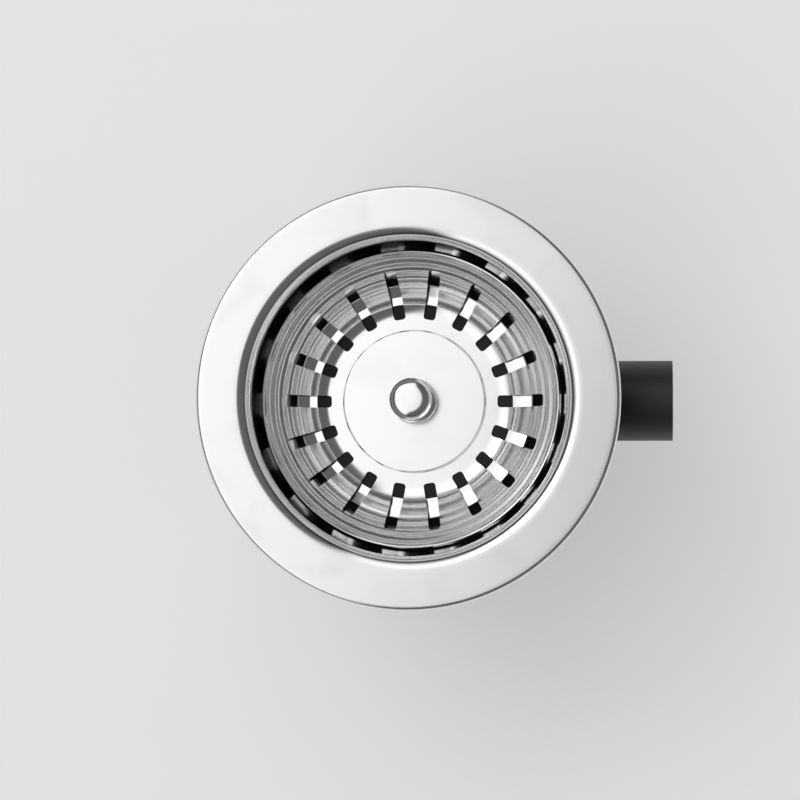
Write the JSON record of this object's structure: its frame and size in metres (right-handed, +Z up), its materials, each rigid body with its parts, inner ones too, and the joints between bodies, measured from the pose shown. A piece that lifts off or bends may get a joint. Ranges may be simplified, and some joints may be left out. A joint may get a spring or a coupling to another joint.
{
  "type": "pop-up sink waste",
  "caption": "Round stainless strainer waste for a sink: flanged bowl, slotted lift-out basket with a knob, rubber plug seal, and a plastic body with a lever that raises the basket.",
  "frame": {"origin": "centre of the sink's outlet hole on the sink's upper face, where the flange gasket lies", "axes": "+Z up out of the sink, +X towards the overflow spigot, +Y towards the actuator housing"},
  "size_m": [0.128, 0.114, 0.1063],
  "materials": {
    "bowl_steel": "satin flange, polished bowl",
    "basket_steel": "polished",
    "knob_steel": "polished",
    "hardware_steel": "plain turned",
    "brass": "plain turned",
    "black_plastic": "moulded, fine grain",
    "black_rubber": "matt"
  },
  "bodies": {
    "waste": {"strainer_bowl": "bowl_steel", "flange_gasket": "black_rubber", "clamp_gasket": "black_rubber", "waste_body": "black_plastic", "boss_insert": "brass", "clamp_screw": "hardware_steel", "spindle_bush": "black_plastic", "spindle_seals": "black_rubber", "actuator_housing": "black_plastic", "housing_nut": "black_plastic", "actuator_cover": "black_plastic", "cover_screws": "hardware_steel", "cable_gland": "brass", "gland_nut": "brass"},
    "basket": {"strainer_basket": "basket_steel", "centre_plate": "basket_steel", "pull_knob": "knob_steel", "basket_seal": "black_rubber", "seal_plate": "hardware_steel", "lift_stem": "hardware_steel", "lift_pin": "hardware_steel", "lift_pin_nut": "hardware_steel"},
    "lift_lever": {"spindle": "hardware_steel", "lift_finger": "black_plastic", "finger_pin": "hardware_steel", "crank_arm": "black_plastic", "crank_screw": "hardware_steel"}
  },
  "joints": [
    {"name": "basket_lift", "type": "slide", "parent": "waste", "child": "basket", "axis": [0, 0, 1], "range_m": [0, 0.01]},
    {"name": "lever_turn", "type": "hinge", "parent": "waste", "child": "lift_lever", "pos_m": [-0.015, 0, -0.073], "axis": [0, -1, 0], "range_deg": [0, 37]}
  ],
  "couplings": [
    {"joint": "lever_turn", "follows": "basket_lift", "rad_per_m": 64.57}
  ]
}
